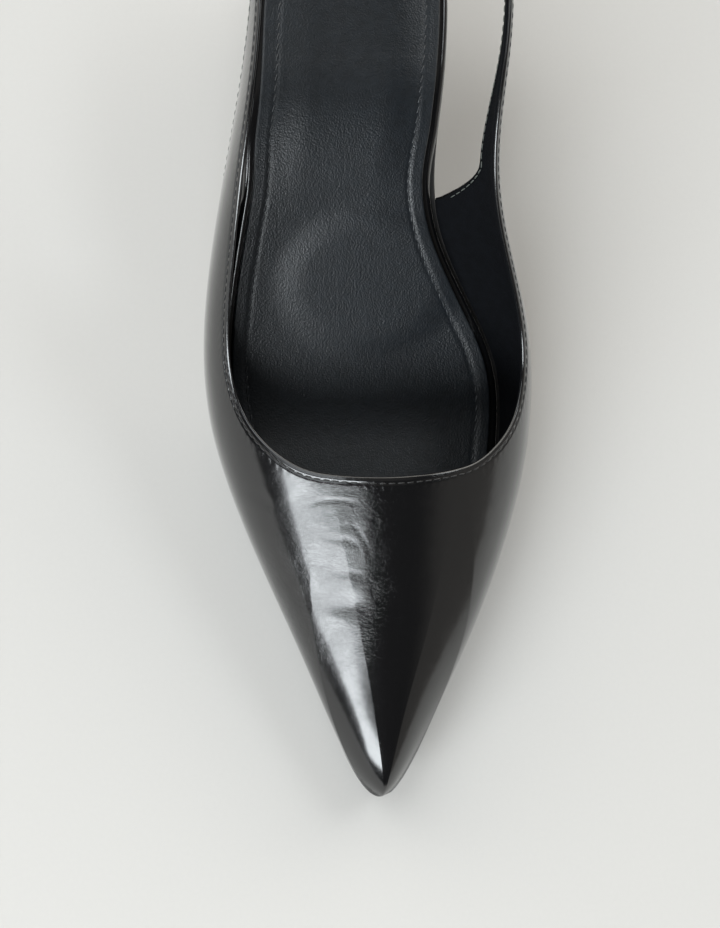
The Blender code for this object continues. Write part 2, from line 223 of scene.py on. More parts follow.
def last_point(turn, roll):
    """Point on the last, before the shoe is centred.

    roll is -1 at the outer feather line, 0 on the crest and 1 at the inner.
    The section is a rounded arch: half width times the cosine of the climb to
    the power SHOULDER, height times its sine, and a bulge low on the wall. At
    the toe its shoulders are squarer, by the sine to the fourth power.
    """
    turn, roll = np.broadcast_arrays(np.asarray(turn, float), np.asarray(roll, float))
    side = np.where(roll < 0.0, -1.0, 1.0)
    climb = (1.0 - np.abs(roll)) * np.pi / 2.0
    across = np.abs(np.cos(climb))
    up = np.sin(climb)
    wall = np.where(roll < 0.0, section(OUTER, turn, BALL_WIDTH), section(INNER, turn, BALL_WIDTH))
    bulge = wall * np.sin(2.0 * climb) * across ** 2 / BULGE_PEAK
    full = TOE_FULLNESS * swell((TOE_FULLNESS_END - to_place(turn)) / TOE_FULLNESS_RISE)
    arch = across ** SHOULDER + full * up ** 4 * across
    x = section(SWING, turn, BALL_WIDTH, True)
    x = x + side * (section(BREADTH, turn, BALL_WIDTH) * arch + bulge)
    seat = LENGTH * to_place(turn)
    y = seat + HEEL_SWELL * swell((turn - HEEL_SWELL_START) / (1.0 - HEEL_SWELL_START)) * up
    z = above_sole(seat, SOLE_THICKNESS) + GAP + section(HEIGHT, turn, INSTEP_HEIGHT) * up
    return np.stack([x, y, z], axis=-1)


TURN_RANGE = (0.004, 0.9995)
ROLL_RANGE = (0.004, 0.998)
SLOPE_REACH = 1e-4


def last_normal(turn, roll):
    """Unit vector out of the last: cross product of its two slopes.

    The slopes fail at the tip, the crest and the feather line, so the point is
    kept a little way off them.
    """
    turn = np.clip(turn, *TURN_RANGE)
    side = np.where(roll < 0.0, -1.0, 1.0)
    roll = side * np.clip(np.abs(roll), *ROLL_RANGE)
    along = last_point(turn + SLOPE_REACH, roll) - last_point(turn - SLOPE_REACH, roll)
    round_it = last_point(turn, roll + SLOPE_REACH) - last_point(turn, roll - SLOPE_REACH)
    normal = np.cross(round_it, along)
    normal /= np.linalg.norm(normal, axis=-1, keepdims=True)
    return normal


crest = last_point(to_turn(np.array([0.1, 0.3, 0.5])), 0.0)
print("height of the last's crest, mm:", (crest[:, 2] * 1000).round(1))

# %% Place in the frame
# The last is worked out from its toe tip. The heel's top piece, which is the same
# in both models, tells how far the construction model was moved to its place.
HEEL_TIP_MIDDLE = 0.925
TIP_SWING = float(section(SWING, to_turn(HEEL_TIP_MIDDLE), BALL_WIDTH, True))
tip_low, tip_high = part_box("heel_top_piece")
SHIFT = np.array([
    (tip_low.x + tip_high.x) / 2.0 - TIP_SWING,
    (tip_low.y + tip_high.y) / 2.0 - LENGTH * HEEL_TIP_MIDDLE,
    0.0,
])
print("move to the frame, mm:", (SHIFT * 1000).round(2))

# %% [markdown]
# ## Surfaces from grids of points
#
# A wall, a sole or a thread can each be one grid of points that closes on
# itself. One helper turns any such grid into a mesh, so that every piece gets
# smooth shading, outward faces and its UV map, if it has one, in the same way.
# Turning a grid into quads with whole arrays is quicker and shorter than
# adding vertices one by one.

# %% Mesh helpers
WELD = 2e-7


def wrapped(grid, rows, columns):
    """The grid with its first row or column repeated at the end."""
    if rows:
        grid = np.concatenate([grid, grid[:1]], axis=0)
    if columns:
        grid = np.concatenate([grid, grid[:, :1]], axis=1)
    return grid


def corner_quads(grid):
    """The four corners of each cell of a grid, in order round the cell."""
    return np.stack([grid[:-1, :-1], grid[1:, :-1], grid[1:, 1:], grid[:-1, 1:]], axis=2)


def volume(points, faces):
    """Signed volume: a sixth of the triple product, summed over triangles."""
    a, b, c, d = (points[faces[:, i]] for i in range(4))
    first = np.einsum("ij,ij->i", a, np.cross(b, c))
    second = np.einsum("ij,ij->i", a, np.cross(c, d))
    return (first.sum() + second.sum()) / 6.0


def build(name, points, faces, maps=None):
    """Object from points, quads and the UVs of each quad's corners."""
    points = points + SHIFT
    if volume(points, faces) < 0.0:
        faces = faces[:, ::-1]
        maps = {key: uv[:, ::-1] for key, uv in (maps or {}).items()}
    mesh = bpy.data.meshes.new(name)
    mesh.from_pydata(points.tolist(), [], faces.tolist())
    for key, uv in (maps or {}).items():
        layer = mesh.uv_layers.new(name=key)
        layer.data.foreach_set("uv", uv.astype(np.float32).ravel())
    shape = bmesh.new()
    shape.from_mesh(mesh)
    bmesh.ops.remove_doubles(shape, verts=shape.verts, dist=WELD)
    shape.to_mesh(mesh)
    shape.free()
    mesh.shade_smooth()
    piece = bpy.data.objects.new(name, mesh)
    bpy.context.scene.collection.objects.link(piece)
    triangles = sum(len(polygon.vertices) - 2 for polygon in mesh.polygons)
    print(f"{name}: {triangles} triangles, {abs(volume(points, faces)) * 1e6:.2f} cm3")
    return piece


def skin(name, grid, maps=None, closed=(True, True)):
    """Piece from a grid of points, rows by columns, closed in rows and columns.

    maps holds a UV grid for each name, one row or column larger where the
    grid is closed, so that the pattern doesn't run back across the seam.
    """
    rows, columns = grid.shape[:2]
    index = wrapped(np.arange(rows * columns).reshape(rows, columns), *closed)
    faces = corner_quads(index).reshape(-1, 4)
    corners = {key: corner_quads(uv).reshape(-1, 4, 2) for key, uv in (maps or {}).items()}
    return build(name, grid.reshape(-1, 3), faces, corners)


# %% [markdown]
# ## The wall of the upper
#
# The real upper is cut flat, closed, and pulled over the last, so its leather
# follows the last without a seam at the toe. Here it is one grid. Each column
# runs over the last from a point on the top edge to a point on the lower edge,
# and at the toe the columns meet in one point. The table of columns holds both
# ends as turn and roll, with the same rules as the construction model.

# %% Columns of the upper
TOE_COLUMNS = 28
VAMP_COLUMNS = 130
CORNER_COLUMNS = 40
STRAP_COLUMNS = 96
CORNER_LEAD = 0.05        # close columns start so far ahead of the quarter's corner
CORNER_TRAIL = 0.03       # and end so far behind it
FINE = 400                # points of a fine curve that is then read at even steps


def roll_of(share, side):
    """Roll at a share of the last's height: its arc cosine."""
    return side * 2.0 / np.pi * np.arccos(np.clip(share, 0.0, 1.0))


def top_share(place, side):
    """Topline height as a share of the last's height.

    The curve runs over the square root of the distance behind the throat, and
    carries the half width there, so the throat is round seen from above.
    """
    width = roll_of(TOPLINE[:, 1 if side < 0 else 2], 1.0) ** SHOULDER
    behind = np.sqrt(TOPLINE[:, 0] - THROAT)
    width = spline(behind, width, np.sqrt(np.clip(place - THROAT, 0.0, None)), False)
    return np.cos(np.pi / 2.0 * np.clip(width, 0.0, 1.0) ** (1.0 / SHOULDER))


def low_share(place, side):
    """Lower edge behind the quarter: a rounded corner, then the strap's width below the top."""
    height = section(HEIGHT, to_turn(place), INSTEP_HEIGHT)
    ahead = np.clip((STRAP_START - place) / (STRAP_START - QUARTER_BACK), 0.0, 1.0)
    strap = STRAP_WIDTH + QUARTER_FLARE * swell(ahead)
    corner = np.clip((place - QUARTER_BACK) * LENGTH / QUARTER_CORNER, 0.0, 1.0)
    rounding = (1.0 - (1.0 - corner) ** 3) ** (1.0 / 3.0)
    return (top_share(place, side) - strap / height) * rounding


def even_steps(turn, roll, count):
    """Turn and roll at equal distances along a fine curve on the last."""
    points = last_point(turn, roll)
    walked = np.r_[0.0, np.cumsum(np.linalg.norm(np.diff(points, axis=0), axis=1))]
    stops = np.linspace(0.0, walked[-1], count + 1)
    return np.array([np.interp(stops, walked, turn), np.interp(stops, walked, roll)])


def column_ends(side):
    """Top and lower ends of the columns of one side, each as rows of turn and roll."""
    share = np.linspace(0.0, 1.0, FINE)
    lead = QUARTER_BACK - CORNER_LEAD
    trail = QUARTER_BACK + CORNER_TRAIL

    def on_edge(place, height, count):
        return even_steps(to_turn(place), roll_of(height(place, side), side), count)

    def corner(height, first, last, power):
        """Columns from one place to the next, closer together at the first."""
        return on_edge(first + (last - first) * share ** power, height, CORNER_COLUMNS)[:, 1:]

    feather = even_steps(to_turn(QUARTER_BACK) * share, np.full(FINE, float(side)), VAMP_COLUMNS)
    fan = np.array([np.zeros(TOE_COLUMNS), np.linspace(0.0, side, TOE_COLUMNS + 1)[:-1]])
    behind = trail + (1.0 - trail) * share
    top = [
        on_edge(THROAT + (lead - THROAT) * share ** 2, top_share, TOE_COLUMNS + VAMP_COLUMNS),
        corner(top_share, lead, trail, 1),
        on_edge(behind, top_share, STRAP_COLUMNS)[:, 1:],
    ]
    low = [
        fan,
        feather,
        corner(low_share, QUARTER_BACK, trail, 3),
        on_edge(behind, low_share, STRAP_COLUMNS)[:, 1:],
    ]
    return np.concatenate(top, axis=1), np.concatenate(low, axis=1)


inner_top, inner_low = column_ends(1)
outer_top, outer_low = column_ends(-1)
top_ends = np.concatenate([inner_top, outer_top[:, -2:0:-1]], axis=1)
low_ends = np.concatenate([inner_low, outer_low[:, -2:0:-1]], axis=1)
print("columns round the upper:", top_ends.shape[1])

# %% [markdown]
# Folded edges are as round as the leather is thick, so each column has to stop
# short of the edge by the fold's radius, measured square to the edge. The next
# cell finds, for every column, the direction square to the edge, how slanted
# the column is to it, and the distance walked down the column.

# %% Edges of the upper
SLANT_RANGE = (0.35, 1.0)


def unit(vectors):
    return vectors / np.maximum(np.linalg.norm(vectors, axis=-1, keepdims=True), 1e-12)


def inward(ends, heading):
    """Direction from the edge into the leather: the normal crossed with the edge."""
    points = last_point(*ends)
    along = np.roll(points, -1, axis=0) - np.roll(points, 1, axis=0)
    square = unit(np.cross(last_normal(*ends), along))
    facing = np.sum(square * heading, axis=1, keepdims=True)
    return square * np.where(facing < 0.0, -1.0, 1.0)


def distance_along(points):
    """Distance walked from the first point to each one, round a closed loop."""
    steps = np.linalg.norm(np.roll(points, -1, axis=0) - points, axis=1)
    return np.r_[0.0, np.cumsum(steps)]


in_fan = low_ends[0] < 1e-6
shares = np.linspace(0.0, 1.0, FINE)[:, None]


def walk(top, low):
    """Points down each column, and how far each is from the top edge."""
    turn = top[0] + (low[0] - top[0]) * shares
    roll = top[1] + (low[1] - top[1]) * shares
    points = last_point(turn, roll)
    steps = np.linalg.norm(np.diff(points, axis=0), axis=2)
    return points, np.concatenate([np.zeros((1, steps.shape[1])), np.cumsum(steps, axis=0)])


points, walked = walk(top_ends, low_ends)
down = unit(points[3] - points[0])
back_up = unit(points[-4] - points[-1])
top_inward = inward(top_ends, down)
low_inward = inward(low_ends, back_up)
low_inward[in_fan] = (0.0, 0.0, 1.0)
top_slant = np.clip(np.sum(top_inward * down, axis=1), *SLANT_RANGE)
low_slant = np.clip(np.sum(low_inward * back_up, axis=1), *SLANT_RANGE)

# The columns of the toe fan end just above the feather line, where the fold starts.
# They meet in one point there, so the slant's huge value leaves them no inset.
nose_turn = np.interp(walked[-1, 0] - FOLD, walked[:, 0],
                      top_ends[0, 0] + (low_ends[0, 0] - top_ends[0, 0]) * shares[:, 0])
low_ends[:, in_fan] = [[nose_turn], [0.0]]
points, walked = walk(top_ends, low_ends)
low_slant[in_fan] = 1e3
along_top = distance_along(points[0])
print("topline, mm:", round(along_top[-1] * 1000, 1))
print("longest column, mm:", round(walked[-1].max() * 1000, 1))


def wall_at(distance):
    """Point, normal, and distances from both edges, at a distance down each column."""
    share = np.stack([np.interp(distance[:, i], walked[:, i], shares[:, 0])
                      for i in range(walked.shape[1])], axis=1)
    turn = top_ends[0] + (low_ends[0] - top_ends[0]) * share
    roll = top_ends[1] + (low_ends[1] - top_ends[1]) * share
    from_top = distance * top_slant
    from_low = np.maximum(walked[-1] - distance, 0.0) * np.minimum(low_slant, 1.0)
    return last_point(turn, roll), last_normal(turn, roll), from_top, from_low


# %% [markdown]
# ## Relief of the leather
#
# Worn leather isn't smooth. The stitch line pulls a groove, the turned edge in
# front of it is plump, and the vamp has the creases that walking puts across
# it. Each crease is placed as a soft trough with a low ridge on both
# sides, in the shoe's own plan: where it starts, where it ends, how far it
# bows, how wide and how deep it is. Finer wrinkles come later, as bump.

# %% Creases and the stitch groove
CREASES = np.array([
    # start x, y, end x, y, bow, width, depth, all in millimetres from the toe tip
    (-24.5, 73.6, -5.0, 73.0, 2.2, 0.7, 0.028),
    (-13.0, 71.0, -9.5, 55.0, -1.2, 0.7, 0.010),
    (-10.5, 56.0, -8.0, 44.0, 0.8, 1.0, 0.045),
    (-9.0, 70.0, -3.0, 58.0, 1.0, 0.8, 0.028),
    (-4.0, 71.0, 6.0, 64.0, -1.0, 1.1, 0.025),
    (-15.0, 66.0, -6.0, 63.0, 0.8, 1.0, 0.040),
    (-14.0, 60.0, -4.0, 55.5, -0.8, 1.0, 0.040),
    (-22.0, 62.0, -15.0, 58.0, 0.7, 1.0, 0.035),
    (-20.0, 53.0, -12.0, 48.0, 0.7, 1.1, 0.035),
    (-15.5, 47.0, -8.0, 40.0, -0.7, 1.0, 0.035),
    (8.0, 73.0, 22.0, 67.0, 1.2, 1.5, 0.050),
    (10.0, 62.0, 24.0, 52.0, 1.4, 1.6, 0.040),
    (-38.0, 84.0, -27.0, 74.0, 1.5, 1.4, 0.060),
    (-24.0, 51.0, -3.0, 46.5, 1.5, 3.4, 0.130),
])

CREASE_FADE = 0.25        # share of a crease's length over which each end fades
CREASE_START = 0.0018     # creases start behind the stitches
CREASE_RISE = 0.003
EDGE_ROLL = 0.0005
GROOVE_DEPTH = 0.00017
GROOVE_HALF = 0.0004
STRAP_FADE = 0.006


def creases(points):
    """Height of all creases: a bell times (1 - d squared) across, faded along."""
    plan = points[..., :2] * 1000.0
    height = np.zeros(plan.shape[:-1])
    for x0, y0, x1, y1, bow, width, depth in CREASES:
        chord = np.array([x1 - x0, y1 - y0])
        length = np.hypot(*chord)
        chord /= length
        ahead = (plan - (x0, y0)) @ chord / length
        aside = (plan - (x0, y0)) @ np.array([-chord[1], chord[0]])
        aside = (aside - 4.0 * bow * ahead * (1.0 - ahead)) / width
        fade = swell(ahead / CREASE_FADE) * swell((1.0 - ahead) / CREASE_FADE)
        height -= depth * (1.0 - aside ** 2) * np.exp(-aside ** 2) * fade
    return height / 1000.0


def turned_edge(away, inset):
    """The edge rolls over ahead of the stitches, which lie in a narrow groove.

    The roll falls with the square of the distance ahead of the stitch line.
    """
    ahead = np.clip(1.0 - away / inset, 0.0, 1.0)
    return -EDGE_ROLL * ahead ** 2 - GROOVE_DEPTH * np.exp(-((away - inset) / GROOVE_HALF) ** 2)


# The lower edge is stitched only from the quarter's corner on, on both sides
strap_part = swell((along_top - along_top[VAMP_COLUMNS + TOE_COLUMNS]) / STRAP_FADE)[:-1]
strap_part = np.minimum(strap_part, np.r_[strap_part[:1], strap_part[:0:-1]])


def leather_relief(points, from_top, from_low):
    height = turned_edge(from_top, TOPLINE_STITCH_INSET)
    height = height + turned_edge(from_low, TOPLINE_STITCH_INSET) * strap_part
    return height + creases(points) * swell((from_top - CREASE_START) / CREASE_RISE)


# %% [markdown]
# ## A sheet with folded edges
#
# Leather and lining are both sheets of even thickness on the last. The grid
# goes down the outer face, round the lower edge, up the inner face and round
# the top edge, so the sheet is closed with no separate rim. Rows are close
# together near the edges, where the fold and the stitch groove are small.

# %% Sheets on the last
ROW_STEP = 0.0002
UNDER_ROWS = 6
OVER_ROWS = 9


def row_distances(start, end, count, near, step):
    """Even steps near the top, then a soft spread to the lower end."""
    first = start + step * np.arange(near)[:, None]
    left = end - first[-1]
    share = np.linspace(0.0, 1.0, count - near + 1)[1:, None]
    even = np.clip(step * (count - near) / left, 0.0, 1.0)
    return np.concatenate([first, first[-1] + left * (even * share + (1.0 - even) * swell(share))])


def fold(centre, normal, outwards, radius, lift, count, start, end):
    """Half circle round an edge: cosine along the normal, sine over the edge."""
    sweep = np.linspace(start, end, count + 2)[1:-1, None, None]
    lifted = lift[:, None] * (1.0 + np.cos(sweep)) / 2.0
    return centre + normal * (radius * np.cos(sweep) + lifted) + outwards * radius * np.sin(sweep)


def sheet_grid(outer, inner, top_inset, low_inset, rows, relief):
    """Closed grid of a sheet between two depths under the last's surface.

    rows gives the rows of the outer and the inner face, and how many of the
    outer rows stand close together at the top.
    """
    radius = (outer - inner) / 2.0
    start = (top_inset + radius) / top_slant
    end = walked[-1] - (low_inset + radius) / low_slant
    face_rows, back_rows, near = rows
    distance = row_distances(start, end, face_rows, near, ROW_STEP)
    points, normal, from_top, from_low = wall_at(distance)
    height = relief(points, from_top, from_low)
    face = points + normal * (outer + height)[..., None]
    pick = np.linspace(face_rows - 1, 0, back_rows).round().astype(int)
    back = points[pick] + normal[pick] * inner
    low_centre = points[-1] + normal[-1] * (outer - radius)
    top_centre = points[0] + normal[0] * (outer - radius)
    under = fold(low_centre, normal[-1], -low_inward, radius, height[-1], UNDER_ROWS, 0.0, np.pi)
    over = fold(top_centre, normal[0], -top_inward, radius, height[0], OVER_ROWS, np.pi, 0.0)
    grid = np.concatenate([face, under, back, over])
    lowest = np.repeat(from_top[-1:], UNDER_ROWS, 0)
    highest = np.repeat(from_top[:1], OVER_ROWS, 0)
    return grid, np.concatenate([from_top, lowest, from_top[pick], highest])


def sheet(name, outer, inner, top_inset, low_inset, rows, relief):
    """A sheet with the toe fan's rows at the fold drawn together, and a map of the topline.

    The map's u is the distance along the top edge and its v the distance from it.
    """
    grid, from_top = sheet_grid(outer, inner, top_inset, low_inset, rows, relief)
    folded = slice(rows[0] - 1, rows[0] + UNDER_ROWS + 1)
    grid[folded, in_fan] = grid[folded, in_fan].mean(axis=1, keepdims=True)
    ring = np.broadcast_to(along_top, (len(grid) + 1, len(along_top)))
    depth = wrapped(from_top, True, True)
    return skin(name, grid, {"topline": np.stack([ring, depth], axis=2)})


def no_relief(points, from_top, from_low):
    return np.zeros(from_top.shape)


LEATHER_ROWS = (112, 16, 17)
LINING_ROWS = (20, 60, 6)
LINING_AIR = 0.00002
LINING_TOP_INSET = 0.0013
LINING_LOW_INSET = 0.0005
upper_leather = sheet("upper_leather", 0.0, -LEATHER, 0.0, 0.0, LEATHER_ROWS, leather_relief)
upper_lining = sheet("upper_lining", -LEATHER - LINING_AIR, -WALL,
                     LINING_TOP_INSET, LINING_LOW_INSET, LINING_ROWS, no_relief)

# %% [markdown]
# ## Stitches
#
# Each stitch of a shoe is a short piece of thread that comes out of one hole
# and goes into the next. One closed shape with few faces is repeated along the
# line: a path, a point square to it and the wall's normal carry its rings. All
# stitches of a line are worked out in one go, as an array of stitch, ring and
# point round the ring.

# %% Stitch lines
STITCH_RINGS = 7
STITCH_SIDES = 6
STITCH_REACH = 0.44       # half a stitch's length, as a share of the pitch
STITCH_LIFT = 0.55        # how far its middle rises, in threads
STITCH_SINK = 0.35        # how deep its ends lie, in threads
ELLIPSE_PART = 0.35       # share of the half ellipse in the thread's outline


def stitch_line(name, path, normal, closed, pitch, thick, skew=0.0):
    """Thread along a path. Each stitch rises by a half ellipse and slants by skew.

    A ring's radius is half the thread times a mean of the square root and the
    fourth root of 1 - t squared, where t runs from -1 to 1 along the stitch.
    """
    if closed:
        path = np.concatenate([path, path[:1]])
        normal = np.concatenate([normal, normal[:1]])
    walk_along = np.r_[0.0, np.cumsum(np.linalg.norm(np.diff(path, axis=0), axis=1))]
    count = int(round(walk_along[-1] / pitch))
    step = walk_along[-1] / count
    t = np.linspace(-1.0, 1.0, STITCH_RINGS)
    stops = (np.arange(count)[:, None] + 0.5 + STITCH_REACH * t) * step

    def read(values):
        return np.stack([np.interp(stops, walk_along, values[:, i]) for i in range(3)], axis=-1)

    centre = read(path)
    up = unit(read(normal))
    ahead = unit(read(np.gradient(path, walk_along + 1e-9 * np.arange(len(path)), axis=0)))
    aside = unit(np.cross(ahead, up))
    root = np.sqrt(np.clip(1.0 - t ** 2, 0.0, 1.0))
    radius = thick / 2.0 * (ELLIPSE_PART * root + (1.0 - ELLIPSE_PART) * np.sqrt(root))
    centre = centre + up * (thick * (STITCH_LIFT * root - STITCH_SINK))[None, :, None]
    centre = centre + aside * (skew * t * step)[None, :, None]
    sweep = np.arange(STITCH_SIDES) * 2.0 * np.pi / STITCH_SIDES
    ring = up[:, :, None] * np.cos(sweep)[:, None] + aside[:, :, None] * np.sin(sweep)[:, None]
    points = centre[:, :, None] + ring * radius[None, :, None, None]
    index = np.arange(points[..., 0].size).reshape(points.shape[:3])
    index = np.concatenate([index, index[:, :, :1]], axis=2)
    faces = np.stack([index[:, :-1, :-1], index[:, 1:, :-1],
                      index[:, 1:, 1:], index[:, :-1, 1:]], axis=-1)
    print(f"{name}: {count} stitches, {step * 1000:.2f} mm apart")
    return build(name, points.reshape(-1, 3), faces.reshape(-1, 4))


def on_wall(away, from_top=True):
    """Path on the leather at a distance from its top or lower edge, with normals."""
    distance = away / top_slant if from_top else walked[-1] - away / np.minimum(low_slant, 1.0)
    points, normal, top, low = wall_at(distance[None, :])
    height = leather_relief(points, top, low)
    return (points + normal * height[..., None])[0], normal[0]


path, normal = on_wall(TOPLINE_STITCH_INSET)
topline_stitches = stitch_line("topline_stitches", path, normal, True, STITCH_PITCH, THREAD)

# The lower edge is stitched behind the quarter's corner. Its thread shows again
# on the lining, a little thinner.
LINING_THREAD = THREAD * 0.8
path, normal = on_wall(TOPLINE_STITCH_INSET, from_top=False)
behind = slice(TOE_COLUMNS + VAMP_COLUMNS + 3, -(TOE_COLUMNS + VAMP_COLUMNS + 2))
path, normal = path[behind], normal[behind]
strap_stitches = stitch_line("strap_stitches", path, normal, False, STITCH_PITCH, THREAD)
lining_stitches = stitch_line("lining_stitches", path - normal * WALL, -normal, False,
                              STITCH_PITCH, LINING_THREAD)

# %% [markdown]
# ## Layers underfoot
#
# Outsole, insole and sock are thin layers of one family: each follows the
# outline of the last's bottom at its own inset, and lies on the layer below
# it. One function makes all three. It joins the two outlines with a
# cross-section that has rounded edges, and closes both ends in a point. The
# outsole is a little wider than the solid it replaces, still within the upper's
# outline, so that no floor shows between its edge and the quarter.

# %% Layers that follow the outline
def outline(turn, side, inset):
    """Plan of the feather line, moved square to itself by the inset."""
    def edge(at):
        x = section(SWING, at, BALL_WIDTH, True) + side * section(BREADTH, at, BALL_WIDTH)
        return np.stack([x, LENGTH * to_place(at)], axis=-1)

    along = unit(edge(np.clip(turn + SLOPE_REACH, 0, 1)) - edge(np.clip(turn - SLOPE_REACH, 0, 1)))
    inwards = np.stack([-along[..., 1], along[..., 0]], axis=-1) * side
    return edge(turn) + inwards * np.asarray(inset)[..., None]


STEP_OUT = 9.0 * WALL
TOE_END = 0.20


def inside_upper(turn, extra, toe_ease):
    """Inset of what lies in the shoe: inside the wall, and out to the sole's edge behind it."""
    start = QUARTER_BACK + GAP / LENGTH
    place = to_place(turn)
    step = swell((place - start) * LENGTH / STEP_OUT)
    inside = WALL + 2.0 * GAP
    ease = toe_ease * (1.0 - swell(place / TOE_END))
    return inside + (SOLE_INSET - inside) * step + extra + ease


LAYER_STATIONS = 420
LAYER_COLUMNS = 90
EDGE_STEPS = 8
END_TURN = 0.006
NARROW_EDGE = 0.45        # most of a section's width that one rounded edge may take
TOP_SHARE = 0.6           # what lies above this share of the layer takes the relief


def stack(name, rings):
    """Closed piece from rings, with both ends drawn together in a point."""
    middles = [np.broadcast_to(ring.mean(axis=0), ring.shape) for ring in (rings[0], rings[-1])]
    return skin(name, np.array([middles[0], *rings, middles[1]]), closed=(False, True))


def layer(name, inset, floor, thickness, radius, relief=None):
    """Closed layer: for each station a flat cross-section with quarter-round corners."""
    turn = np.linspace(END_TURN, 1.0 - END_TURN, LAYER_STATIONS)
    left = outline(turn, -1, inset(turn))
    right = outline(turn, 1, inset(turn))
    width = np.linalg.norm(right - left, axis=1)[:, None]
    edge = np.minimum(radius, NARROW_EDGE * width)
    bend = np.linspace(0.0, np.pi / 2.0, EDGE_STEPS + 1)
    rise, fall = np.sin(bend), np.cos(bend)
    across = edge + (width - 2.0 * edge) * np.linspace(0.0, 1.0, LAYER_COLUMNS)
    over, under = across[:, 1:-1], across[:, -2:0:-3]
    share = np.concatenate([
        edge - edge * fall, over, width - edge + edge * rise,
        width - edge + edge * fall[1:], under, edge - edge * rise[:-1]], axis=1) / width
    depth = np.concatenate([
        thickness - radius + radius * rise, np.full(over.shape[1], thickness),
        thickness - radius + radius * fall, radius - radius * rise[1:],
        np.zeros(under.shape[1]), radius - radius * fall[:-1]])
    depth = np.broadcast_to(depth, share.shape)
    plan = left[:, None] + (right - left)[:, None] * share[..., None]
    if relief is not None:
        top = depth > TOP_SHARE * thickness
        depth = depth + np.where(top, relief(plan, left, right), 0.0)
    slope = sole_line(plan[..., 1])[1]
    z = floor(plan[..., 1]) + depth * np.sqrt(1.0 + slope ** 2)
    return stack(name, np.concatenate([plan, z[..., None]], axis=-1))


MEMORY_PARTS = 40         # the distances are worked out in parts, to spare memory


def edge_distance(plan, left, right):
    """Distance from each point of the plan to the nearest point of its border."""
    border = np.concatenate([left, right])
    parts = np.array_split(plan.reshape(-1, 2), MEMORY_PARTS)
    nearest = [np.sqrt(((part[:, None] - border) ** 2).sum(-1).min(1)) for part in parts]
    return np.concatenate(nearest).reshape(plan.shape[:-1])


OUTSOLE_INSET = 0.3 * SOLE_INSET
OUTSOLE_EDGE = 0.0009     # radius of each layer's rounded edge
INSOLE_EDGE = 0.0016
SOCK_EDGE = 0.0005
INSOLE_TOE_EASE = 0.0016  # more room where the upper closes over the toe
SOCK_TOE_EASE = 0.0032
outsole = layer("leather_outsole", lambda turn: np.full_like(turn, OUTSOLE_INSET),
                lambda y: sole_line(y)[0], SOLE_THICKNESS, OUTSOLE_EDGE)
insole = layer("wrapped_insole", lambda turn: inside_upper(turn, 0.0, INSOLE_TOE_EASE),
               lambda y: above_sole(y, SOLE_THICKNESS) + GAP, INSOLE_THICKNESS, INSOLE_EDGE)

# %% [markdown]
# The sock is the soft leather sheet that the foot stands on. A line of stitches
# runs inside its edge. A foam pad under it makes the arch soft, an oval patch
# with a soft edge all round, and the seat is a low cushion.

# %% Sock with its pad
PAD_CENTRE = np.array([0.0035, 0.1375])
PAD_HALF = np.array([0.0245, 0.0170])
PAD_HEIGHT = 0.0009
PAD_DOME = 0.25           # share of the height that is a dome on the step
PAD_RIM = 1.15            # the step starts so far out, in half axes of the oval
PAD_STEP = 0.45
SEAT_CROWN = 0.0016
SEAT_CROWN_REACH = 0.014
SEAT_CROWN_START = 0.148
SEAT_CROWN_RISE = 0.035
SOCK_STITCH_INSET = 0.0039
SOCK_STITCH_PITCH = 0.0027
SOCK_STITCH_SKEW = 0.10
SOCK_STITCH_ENDS = (0.30, 0.992)
SOCK_THREAD = 0.00045
SOCK_THREAD_SINK = 0.00018
SOCK_GROOVE_DEPTH = 0.00022
SOCK_GROOVE_HALF = 0.00045
SOCK_BORDER = 0.00012     # what the border outside the stitches stands up
SOCK_BORDER_RISE = 0.0006


def pad_height(plan):
    """Height of the pad: a soft step at the edge of an oval, and a low dome on it."""
    out = np.sqrt((((plan - PAD_CENTRE) / PAD_HALF) ** 2).sum(-1))
    dome = np.clip(1.0 - out ** 2, 0.0, 1.0)
    return PAD_HEIGHT * ((1.0 - PAD_DOME) * swell((PAD_RIM - out) / PAD_STEP) + PAD_DOME * dome)


def seat_crown(plan, away):
    """The seat is a low cushion that falls off with a soft step towards its border."""
    rise = swell((plan[..., 1] - SEAT_CROWN_START) / SEAT_CROWN_RISE)
    return SEAT_CROWN * swell(away / SEAT_CROWN_REACH) * rise


def sock_inset(turn):
    return inside_upper(turn, SOCK_INSET, SOCK_TOE_EASE)


def on_insole(y, lift):
    """Height of a point that lies so far above the insole, square to the sole."""
    return above_sole(y, SOLE_THICKNESS + INSOLE_THICKNESS + lift) + 2.0 * GAP


def sock_relief(plan, left, right):
    """Pad, cushion and border, less the groove that the stitches pull."""
    away = edge_distance(plan, left, right)
    groove = SOCK_GROOVE_DEPTH * np.exp(-((away - SOCK_STITCH_INSET) / SOCK_GROOVE_HALF) ** 2)
    border = SOCK_BORDER * swell((SOCK_STITCH_INSET - away) / SOCK_BORDER_RISE)
    return pad_height(plan) + seat_crown(plan, away) + border - groove


sock = layer("padded_sock", sock_inset, lambda y: on_insole(y, 0.0), SOCK_THICKNESS,
             SOCK_EDGE, sock_relief)


def sock_path(side):
    """Stitch line of the sock on one side, with the sock's normals."""
    turn = np.linspace(*to_turn(np.array(SOCK_STITCH_ENDS)), 500)
    plan = outline(turn, side, sock_inset(turn) + SOCK_STITCH_INSET)
    lift = pad_height(plan) + seat_crown(plan, SOCK_STITCH_INSET) - SOCK_THREAD_SINK
    slope = sole_line(plan[:, 1])[1]
    normal = unit(np.column_stack([np.zeros_like(slope), -slope, np.ones_like(slope)]))
    return np.column_stack([plan, on_insole(plan[:, 1], SOCK_THICKNESS + lift)]), normal


